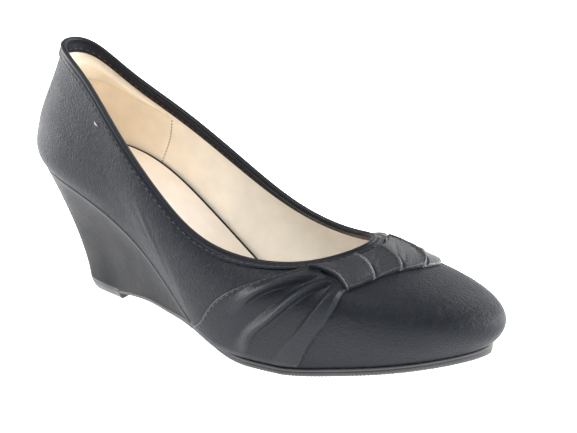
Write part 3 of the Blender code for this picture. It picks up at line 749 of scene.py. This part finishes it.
NARROW_ROLL = np.array([
    (0.00, 0.50, 0.14, 0.07, 0.0000),
    (0.07, 0.50, 0.13, 0.06, 0.0004),
    (0.16, 0.50, 0.12, 0.05, 0.0018),
    (0.32, 0.50, 0.11, 0.05, 0.0030),
    (0.50, 0.535, 0.12, 0.05, 0.0037),
    (0.71, 0.56, 0.14, 0.055, 0.0039),
    (0.90, 0.61, 0.17, 0.07, 0.0032),
    (0.99, 0.64, 0.17, 0.11, 0.0016),
    (1.06, 0.66, 0.17, 0.13, 0.0006),
])
FLAT_ROLL = np.array([
    (0.00, 0.83, 0.07, 0.30, 0.0001),
    (0.12, 0.83, 0.06, 0.30, 0.0010),
    (0.30, 0.845, 0.06, 0.28, 0.0018),
    (0.55, 0.86, 0.07, 0.26, 0.0022),
    (0.80, 0.87, 0.09, 0.26, 0.0028),
    (0.91, 0.88, 0.11, 0.22, 0.0029),
    (0.99, 0.88, 0.12, 0.22, 0.0015),
    (1.06, 0.88, 0.14, 0.22, 0.0006),
])


def fold(across, way, table):
    """One fold of the panel: a squared cosine that rises slowly from the rear to its crest and falls
    fast at the front, its place, widths and height changing along the panel."""
    crest, rear_wide, front_wide, high = smooth_curve(table, way.ravel()).T
    reach = np.where(across < crest, (across - crest) / rear_wide, (across - crest) / front_wide)
    return np.maximum(high, 0.0) * np.cos(np.clip(reach, -1.0, 1.0) * np.pi / 2.0) ** 2


def turned_edge(away, round_over):
    """Share of full thickness at a distance from a folded edge: a quarter circle."""
    return np.sqrt(np.clip(1.0 - (1.0 - np.clip(away / round_over, 0.0, 1.0)) ** 2, 0.0, 1.0))


pleat_leather = leather("pleat leather", UPPER_DARK, UPPER_LIGHT, 0.44, GRAIN, 0.3, 0.00016, 0.04)
collar_gap = BINDING_OUTSIDE + 2.0 * GAP
panel_across = close_at_ends(130)[:, None]
panel_way = np.linspace(0.0, 1.06, 122)[None, :]
past = np.maximum(panel_way - 1.0, 0.0)
seam = smooth_curve(PLEAT_SEAMS, np.minimum(panel_way.ravel(), 1.0))
panel_around = seam[:, 0] * (1.0 - panel_across) + seam[:, 2] * panel_across
panel_around = panel_around + past * (0.18 - 0.10 * panel_across)
panel_up = seam[:, 1] * (1.0 - panel_across) + seam[:, 3] * panel_across + past * 0.5 * panel_across
panel_up = np.minimum(panel_up, below_collar(panel_around, collar_gap))
rolls = [fold(panel_across, panel_way, table) for table in (BROAD_ROLL, NARROW_ROLL, FLAT_ROLL)]
folds = np.max(rolls, axis=0)
foot_fade = 1.0 - 0.6 * np.clip(1.0 - panel_way / 0.05, 0.0, 1.0)
seam = smooth_curve(PLEAT_SEAMS, np.linspace(0.01, 0.985, 160))
for name, node, mirrored in (("pleats_outer", "pleat_outer", False), ("pleats_inner", "pleat_inner", True)):
    around = 1.0 - panel_around if mirrored else panel_around
    under = wall_point(around, panel_up, GAP * 0.3)
    wide = np.linalg.norm(under[-1] - under[0], axis=-1)[None, :]
    edge_away = np.minimum(panel_across, 1.0 - panel_across) * wide
    thick = (PLEAT + folds * np.clip(edge_away / 0.0012, 0.0, 1.0)) * turned_edge(edge_away, 0.0007)
    over = wall_point(around, panel_up, GAP * 0.3 + thick * foot_fade + 0.00004)
    # Painted highlight: paler along the folded side edges, more at the rear one, and faintly on the fold
    # crests.
    edge_highlight = 0.4 * bell(edge_away, 0.0006) * (0.35 + 0.65 * (panel_across < 0.5))
    pale = np.maximum(edge_highlight, 0.02 * np.clip(folds / 0.0035, 0.0, 1.0) ** 3)
    order = -1 if mirrored else 1
    pleats = slab_piece(name, under[::order], over[::order], pleat_leather)
    paint(pleats, "painted_highlight", np.concatenate([pale[::order], pale[::order]]))
    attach(pleats, "root")
    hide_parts(node)
    for place, near, far in (("rear", 0, 2), ("front", 2, 0)):
        around, up = seam[:, near], seam[:, near + 1]
        up = np.minimum(up, below_collar(around, collar_gap + 0.0005))
        span = np.linalg.norm(last_point(seam[:, far], seam[:, far + 1]) - last_point(around, up), axis=-1)
        share = STITCHES_IN / np.maximum(span, 0.004)
        around = around + (seam[:, far] - around) * share
        up = np.minimum(up + (seam[:, far + 1] - up) * share, below_collar(around, collar_gap + 0.0012))
        if mirrored:
            around = 1.0 - around
        line = wall_point(around, up, GAP * 0.3 + PLEAT + 0.00005)
        side = wall_normal(around, up)
        stitches = stitch_row(f"{name}_stitches_{place}", line, side, STITCH, 0.0012, 0.00023, black_thread)
        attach(stitches, "root")

# Vamp band: a strip of glossier leather over the front of the throat, from the outer pleats to the
# inner ones. Three tucks across it are folded towards the inner side and stitched, so it lies like
# shingles, and its outer end is rolled over the ends of the pleats.
BAND = 0.0018
BAND_WIDE = 0.0215
BAND_LONG = 0.070
END_BOW = 0.10
BAND_COLUMNS = ("share", "rear_around", "front_around", "front_drop")
BAND_EDGES = np.array([
    (0.00, 0.4285, 0.4475, 1.09),
    (0.20, 0.452, 0.4620, 1.05),
    (0.50, 0.500, 0.4965, 1.05),
    (0.80, 0.547, 0.5270, 1.46),
    (1.00, 0.5715, 0.5490, 1.42),
])
TUCK_COLUMNS = ("share", "bow", "lift")
TUCKS = ((0.355, 0.125, 0.0016), (0.535, 0.10, 0.0015), (0.766, 0.26, 0.0013))
DENT_COLUMNS = ("share", "across", "long", "wide", "deep")
DENTS = (
    (0.40, 0.62, 0.10, 0.05, 0.00022),
    (0.43, 0.30, 0.09, 0.04, 0.00018),
    (0.37, 0.85, 0.05, 0.06, 0.00025),
    (0.56, 0.70, 0.08, 0.05, 0.00022),
    (0.59, 0.35, 0.07, 0.05, 0.00016),
    (0.70, 0.60, 0.06, 0.07, 0.00020),
    (0.76, 0.35, 0.09, 0.05, 0.00018),
    (0.17, 0.25, 0.08, 0.06, 0.00016),
    (0.22, 0.70, 0.08, 0.05, 0.00014),
)


def band_place(share, across):
    """Place round the last and up the wall of a point of the band."""
    edges = smooth_curve(BAND_EDGES, share.ravel()).reshape(share.shape + (3,))
    around = edges[..., 0] * (1.0 - across) + edges[..., 1] * across
    drop = (BINDING_OUTSIDE + 2.0 * GAP) * (1.0 - across) + BAND_WIDE * edges[..., 2] * across
    return around, below_collar(around, drop)


def tuck_line(tuck, across):
    """Share along the band of a tuck's folded edge, a shallow parabola across it."""
    return tuck[0] - tuck[1] * (across - 0.28) ** 2


def bowed_end(across):
    """Share along the band that its outer end is bowed in by, a parabola across it."""
    return END_BOW * 4.0 * across * (1.0 - across)


def band_height(share, across):
    """Height of the band over the vamp: each shingle rises towards its tuck and drops behind it, the
    outer end is a roll, and small dents run beside the tucks."""
    high = np.full(share.shape, BAND)
    for tuck in TUCKS:
        ahead = tuck_line(tuck, across) - share
        shingle = np.where(ahead >= 0.0, bell(np.maximum(ahead, 0.0), 0.075, 1.5), np.exp(ahead / 0.0025))
        high = high + tuck[2] * shingle
        high = high + 0.0007 * bell(ahead - 0.007, 0.0060) - 0.0008 * bell(ahead + 0.011, 0.010)
    end = share - bowed_end(across)
    high = high + 0.0004 * bell(end - 0.008, 0.010) + 0.0012 * bell(end, 0.16)
    for at, middle, long, wide, deep in DENTS:
        slant = (share - at) + 0.25 * (across - middle)
        high = high - deep * bell(slant, wide * 0.35) * bell(across - middle, long * 2.2)
    return high


def band_arch(across):
    """Share of the band's height that it keeps at a place across it, a parabola lower at both edges."""
    return 1.0 - 0.10 * (2.0 * across - 1.0) ** 2


BAND_DARK, BAND_LIGHT = (0.006, 0.0078, 0.012), (0.012, 0.0145, 0.020)
band_leather = leather("band leather", BAND_DARK, BAND_LIGHT, 0.38, 0.0010, 0.35, 0.00016, 0.30, 0.26)
band_share, band_across = np.meshgrid(np.linspace(0.0, 1.0, 340), close_at_ends(64), indexing="ij")
bow = bowed_end(band_across)
band_share = band_share * (1.0 - bow) + bow
around, up = band_place(band_share, band_across)
under = wall_point(around, up, GAP * 0.5)
edge_away = np.minimum(
    np.minimum(band_across, 1.0 - band_across) * 0.022,
    np.minimum(band_share - bow, 1.0 - band_share) * BAND_LONG,
)
thick = band_height(band_share, band_across) * turned_edge(edge_away, 0.0011)
over = wall_point(around, up, GAP * 0.5 + thick * band_arch(band_across) + 0.00005)
band = slab_piece("vamp_band_strip", under[::-1], over[::-1], band_leather)
# Painted highlight: paler along each tuck's bead and along the rolled outer end, more towards the band's
# front edge.
beads = [bell(tuck_line(tuck, band_across) - band_share - 0.006, 0.006) for tuck in TUCKS]
beads.append(0.6 * bell(band_share - bow - 0.010, 0.007))
pale = np.max(beads, axis=0) * (0.25 + 0.75 * np.clip((band_across - 0.15) / 0.6, 0.0, 1.0))
paint(band, "painted_highlight", np.concatenate([pale[::-1], pale[::-1]]))
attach(band, "root")
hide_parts("vamp_band")

across = np.linspace(0.05, 0.93, 80)
band_rows = [tuck_line(tuck, across) - 0.022 for tuck in TUCKS]
band_rows.append(tuck_line(TUCKS[0], across) + 0.026)
band_rows.append(0.036 + bowed_end(across))
for number, share in enumerate(band_rows):
    around, up = band_place(share, across)
    high = band_height(share, across) * band_arch(across)
    line = wall_point(around, up, GAP * 0.5 + high + 0.00006)
    side = wall_normal(around, up)
    stitches = stitch_row(f"band_stitches_{number + 1}", line, side, 0.0019, 0.0011, 0.00022, black_thread)
    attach(stitches, "root")

# Wedge: a moulded block under the heel and the arch, covered with a plain dark leather. Its sides hollow
# in from the foot line to a narrow base, and it thins to nothing where the sole comes down to the floor.
MIDDLE_SHANK = 0.0015
WEDGE_TIP = 0.0006
LIFT = 0.0056
ARCH_COLUMNS = ("along", "under")
ARCH = np.array([
    (0.20, 0.042),
    (0.27, 0.110),
    (0.33, 0.150),
    (0.40, 0.153),
    (0.45, 0.139),
    (0.49, 0.097),
    (0.53, 0.043),
    (0.57, 0.005),
    (0.60, 0.000),
])
BASE_COLUMNS = ("share", "along", "spread")
BASE = np.array([
    (0.00, 0.098, 0.05),
    (0.04, 0.100, 0.21),
    (0.10, 0.109, 0.36),
    (0.22, 0.130, 0.45),
    (0.40, 0.172, 0.49),
    (0.55, 0.212, 0.53),
    (0.75, 0.300, 0.76),
    (0.90, 0.395, 0.91),
    (1.00, 0.466, 0.955),
])
BREAST = x_of(BASE[5, 1])
TIP = x_of(BASE[-1, 1])


def under_height(x):
    """Height of the sole's underside: the arch behind the ball, then one sole below the foot line."""
    arch = SEAT_HEIGHT * smooth_curve(ARCH, share_of(np.ravel(x)))[:, 0]
    arch = np.maximum(arch, 0.0).reshape(np.shape(x))
    front = np.asarray(x) > x_of(ARCH[-1, 0])
    return np.where(front, foot_height(x) - SOLE, arch)


def shank_top(x):
    """Height of the outsole's upper face behind the wedge's tip: it thickens forward as it nears it."""
    forward = np.clip((share_of(np.asarray(x)) - 0.36) / 0.106, 0.0, 1.0)
    return under_height(x) + MIDDLE_SHANK + 0.6 * (SOLE - MIDDLE_SHANK) * forward**2


def loop(x, outer, inner, z):
    """One loop round a piece: up its outer side, then back down its inner side."""
    z = np.broadcast_to(z, np.shape(x))
    return np.r_[np.c_[x, outer, z], np.c_[x, inner, z][::-1]]


def narrowed(outer, inner, share):
    """Outer and inner edges drawn in towards the line midway between them, to a share of their width."""
    centre = (outer + inner) / 2.0
    return centre + (outer - centre) * share, centre + (inner - centre) * share


def stacked_loops(name, loops, material):
    """Closed piece through a stack of loops, each end closed by strips from its outer to inner side."""
    count = len(loops[0])
    near = np.arange(count // 2 - 1)
    cap = np.stack([near, near + 1, count - 2 - near, count - 1 - near], axis=-1)
    top = (len(loops) - 1) * count
    faces = np.concatenate([grid_faces(len(loops), count, False, True), cap, cap[:, ::-1] + top])
    return set_mesh(name, np.stack(loops), faces[:, ::-1], material)


WEDGE_DARK, WEDGE_LIGHT = (0.0095, 0.0100, 0.0112), (0.0145, 0.0151, 0.0168)
wedge_leather = leather("wedge leather", WEDGE_DARK, WEDGE_LIGHT, 0.48, GRAIN, 0.3, 0.00016, 0.0, 0.11)
rear = foot_ends(GAP)[0]
share = 1.0 - np.cos(np.radians(90.0) * (np.arange(150) + 0.3) / 149.3)
x = rear + (TIP - rear) * share
crest = loop(x, *foot_edges(x, -0.00025), foot_level(x, -0.0006))
crest_top = loop(x, *foot_edges(x, 0.0001), foot_level(x, -0.00005))
crest_in = loop(x, *foot_edges(x, GAP + 0.0009), foot_level(x, 0.0))
base = smooth_curve(BASE, share)
base_x = x_of(base[:, 0])
base_outer, base_inner = narrowed(*foot_edges(base_x, 0.0), base[:, 1])
shank_line = np.minimum(shank_top(base_x), foot_level(base_x, -2.0 * GAP - WEDGE_TIP))
base_z = np.where(base_x <= BREAST, LIFT, np.maximum(shank_line, LIFT)) + GAP
floor_loop = loop(base_x, base_outer, base_inner, base_z)
wedge_loops = [crest_in, crest_top]
way_down = np.linspace(0.0, 1.0, 60) ** 1.15
for way in way_down:
    bow = 1.0 - (1.0 - way) ** 1.45
    level = crest * (1.0 - way) + floor_loop * way
    level[:, :2] = crest[:, :2] * (1.0 - bow) + floor_loop[:, :2] * bow
    wedge_loops.append(level)
wedge = stacked_loops("wedge_cover", wedge_loops[::-1], wedge_leather)
down = np.r_[0.0, 0.0, way_down]
# Painted highlight: paler in a thin line along the wedge's top edge under the upper, and faintly a little
# further down.
pale = 0.6 * bell(down, 0.018) + 0.10 * bell(down, 0.16)
paint(wedge, "painted_highlight", np.repeat(pale[::-1], len(crest)))
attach(wedge, "root")
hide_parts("wedge")

# Outsole: black rubber, cemented under the forefoot with a thin lip along its top edge and fine teeth
# along its lower one, and a thin cover under the arch back to the top lift. Ribs run across the tread.
RUBBER = (0.029, 0.030, 0.033)
TOOTH = 0.0005
TOOTH_STEP = 0.0017
EDGE_COLUMNS = ("rise", "inward", "lip", "tooth")
SOLE_EDGE = (
    (0.00, 0.0012, 0.0, 1.0),
    (0.06, 0.0007, 0.0, 1.0),
    (0.20, 0.0002, 0.0, 0.8),
    (0.30, 0.0, 0.0, 0.0),
    (0.60, 0.0, 0.0, 0.0),
    (0.67, 0.0, -0.0003, 0.0),
    (0.72, 0.0, -0.0003, 0.0),
    (0.76, 0.0, 0.0004, 0.0),
    (0.86, 0.0, 0.0006, 0.0),
    (0.94, 0.0, 0.0006, 0.0),
    (1.00, 0.0, 0.0005, 0.0),
    (1.05, 0.0, 0.0002, 0.0),
    (1.07, 0.0008, 0.0, 0.0),
)


def rubber(name, colour, rough, ribs):
    """Moulded rubber: faint mottling in its colour, a fine satin skin, and ribs where it faces down."""
    material, tree, shader, place = new_material(name)
    dull, pale = [value * 0.75 for value in colour], [value * 1.5 for value in colour]
    wave = new_node(tree, "TexWave", {"Vector": place, "Scale": 95.0}, bands_direction="X").outputs["Fac"]
    facing = new_node(tree, "NewGeometry", {}).outputs["Normal"]
    below = maths(tree, "LESS_THAN", new_node(tree, "SeparateXYZ", {"Vector": facing}).outputs["Z"], -0.8)
    skin = noise(tree, place, 1300.0, 3.0)
    height = maths(tree, "MULTIPLY_ADD", maths(tree, "MULTIPLY", wave, below), ribs, skin)
    set_inputs(tree, shader, {
        "Base Color": mix_colour(tree, noise(tree, place, 130.0, 5.0), dull, pale),
        "Roughness": rough,
        "Normal": bumped(tree, height, 0.00004),
    })
    return material


sole_rubber = rubber("sole rubber", RUBBER, 0.48, 8.0)
toe = foot_ends(0.0)[1]
start = BREAST + GAP
x = start + (toe - start) * np.sin(np.radians(90.0) * np.arange(900) / 899.7)
spread = smooth_curve(np.c_[BASE[:, 1], BASE[:, 2]], share_of(x))[:, 0]
waist = np.clip((x_of(ARCH[-1, 0]) - x) / (0.08 * LENGTH), 0.0, 1.0)
spread = np.where(x < TIP, spread, 1.0 - (1.0 - BASE[-1, 2]) * waist)
edge_outer, edge_inner = narrowed(*foot_edges(x, 0.0), spread)
half = (edge_inner - edge_outer) / 2.0
sole_under = under_height(x)
shank_line = np.minimum(shank_top(x), foot_level(x, -3.0 * GAP - WEDGE_TIP))
sole_top = np.where(x < TIP, shank_line, foot_level(x, -GAP))
forefoot = np.clip((x - TIP - 0.008) / 0.03, 0.0, 1.0)
walk = np.r_[0.0, np.cumsum(np.hypot(np.diff(x), np.diff(edge_outer)))]
teeth = forefoot * (0.5 + 0.5 * np.sin(walk * 2.0 * np.pi / TOOTH_STEP))
sole_loops = []
for rise, inward, lip, tooth in SOLE_EDGE:
    tuck = np.minimum(inward - lip * forefoot + TOOTH * tooth * teeth, half - 0.0002)
    z = sole_under + (sole_top - sole_under) * rise
    sole_loops.append(loop(x, edge_outer + tuck, edge_inner - tuck, z))
outsole = stacked_loops("outsole_rubber", sole_loops, sole_rubber)
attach(outsole, "root")
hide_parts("outsole")

# Top lift: a small D-shaped block of harder, glossier rubber, pinned under the wedge. It is drawn in
# towards the floor, where it is worn round.
LIFT_COLUMNS = ("z", "tuck")
LIFT_EDGE = (
    (0.0, 0.0024),
    (0.0002, 0.0020),
    (0.0008, 0.0016),
    (0.0028, 0.0008),
    (0.0046, 0.0002),
    (0.0053, 0.0003),
    (LIFT, 0.0007),
)
lift_rubber = rubber("lift rubber", (0.018, 0.018, 0.020), 0.34, 4.0)
lift_share = BASE[5, 0] * (1.0 - np.linspace(0.0, 1.0, 60)) ** 1.5
lift = smooth_curve(BASE, lift_share)
lift_x = x_of(lift[:, 0])
foot_outer, foot_inner = foot_edges(lift_x, 0.0)
half = (foot_inner[0] - foot_outer[0]) / 2.0
lift_loops = []
for z, tuck in LIFT_EDGE:
    outer, inner = narrowed(foot_outer, foot_inner, lift[:, 1] * (1.0 - tuck / half / lift[0, 1]))
    shorter = lift_x[0] + (lift_x - lift_x[0]) * (1.0 - tuck / (lift_x[0] - lift_x[-1]))
    lift_loops.append(loop(shorter[::-1], outer[::-1], inner[::-1], z))
top_lift = stacked_loops("top_lift_rubber", lift_loops, lift_rubber)
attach(top_lift, "root")
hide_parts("top_lift")

# Studio: a wide pale floor, a white room, and broad soft lights overhead, at the left and behind.
floor_white, tree, shader, place = new_material("pale floor")
set_inputs(tree, shader, {
    "Base Color": (0.86, 0.86, 0.86),
    "Roughness": 0.9,
    "Emission Color": (1.0, 1.0, 1.0),
    "Emission Strength": 1.5,
})
floor_corners = 4.0 * np.array([(-1.0, -1.0, 0.0), (1.0, -1.0, 0.0), (1.0, 1.0, 0.0), (-1.0, 1.0, 0.0)])
floor = set_mesh("floor", floor_corners, [(0, 1, 2, 3)], floor_white)

room = bpy.data.worlds.new("white room")
room.use_nodes = True
set_inputs(room.node_tree, room.node_tree.nodes["Background"], {"Color": (1.0, 1.0, 1.0), "Strength": 0.5})
bpy.context.scene.world = room


def soft_light(name, place, aim, wide, high, power):
    """A rectangular area light at a place, turned to face the aim point."""
    light = bpy.data.lights.new(name, "AREA")
    light.shape = "RECTANGLE"
    light.size = wide
    light.size_y = high
    light.energy = power
    lamp = bpy.data.objects.new(name, light)
    lamp.location = place
    away = np.array(aim) - np.array(place)
    lamp.rotation_euler = [
        float(np.arctan2(np.hypot(away[0], away[1]), -away[2])), 0.0, float(np.arctan2(-away[0], away[1])),
    ]
    bpy.context.scene.collection.objects.link(lamp)


soft_light("overhead", (-0.10, -0.25, 1.0), (0.04, 0.0, 0.05), 0.7, 0.7, 7.6)
soft_light("left", (-0.9, -0.25, 0.35), (0.0, 0.0, 0.06), 0.7, 0.7, 15.0)
soft_light("right behind", (0.90, 0.55, 0.22), (0.15, 0.0, 0.03), 0.8, 0.4, 14.0)
soft_light("behind", (0.20, 1.0, 0.6), (0.10, 0.0, 0.04), 0.8, 0.8, 5.0)

# Camera: at the photograph's angle, looking down a little at the outer side from in front.
AZIMUTH, ELEVATION, TILT = np.radians([33.966, 20.563, -0.352])
MIDDLE = np.array([0.082, 0.0, 0.050])
BACK_OFF, TO_RIGHT, UPWARDS = 0.485238, 0.020295, 0.003764
level = np.array([np.cos(AZIMUTH), np.sin(AZIMUTH), 0.0])
back = np.array([level[1] * np.cos(ELEVATION), -level[0] * np.cos(ELEVATION), np.sin(ELEVATION)])
above = np.cross(back, level)
right = np.cos(TILT) * level + np.sin(TILT) * above
above = -np.sin(TILT) * level + np.cos(TILT) * above
place = MIDDLE + back * BACK_OFF + right * TO_RIGHT + above * UPWARDS
lens = bpy.data.cameras.new("camera")
lens.sensor_width = 36.0
lens.lens = 64.43
lens.clip_start = 0.01
camera = bpy.data.objects.new("camera", lens)
camera.matrix_world = Matrix(np.r_[np.c_[right, above, back, place], [(0.0, 0.0, 0.0, 1.0)]].tolist())
bpy.context.scene.collection.objects.link(camera)
bpy.context.scene.camera = camera
bpy.context.scene.view_settings.view_transform = "Standard"
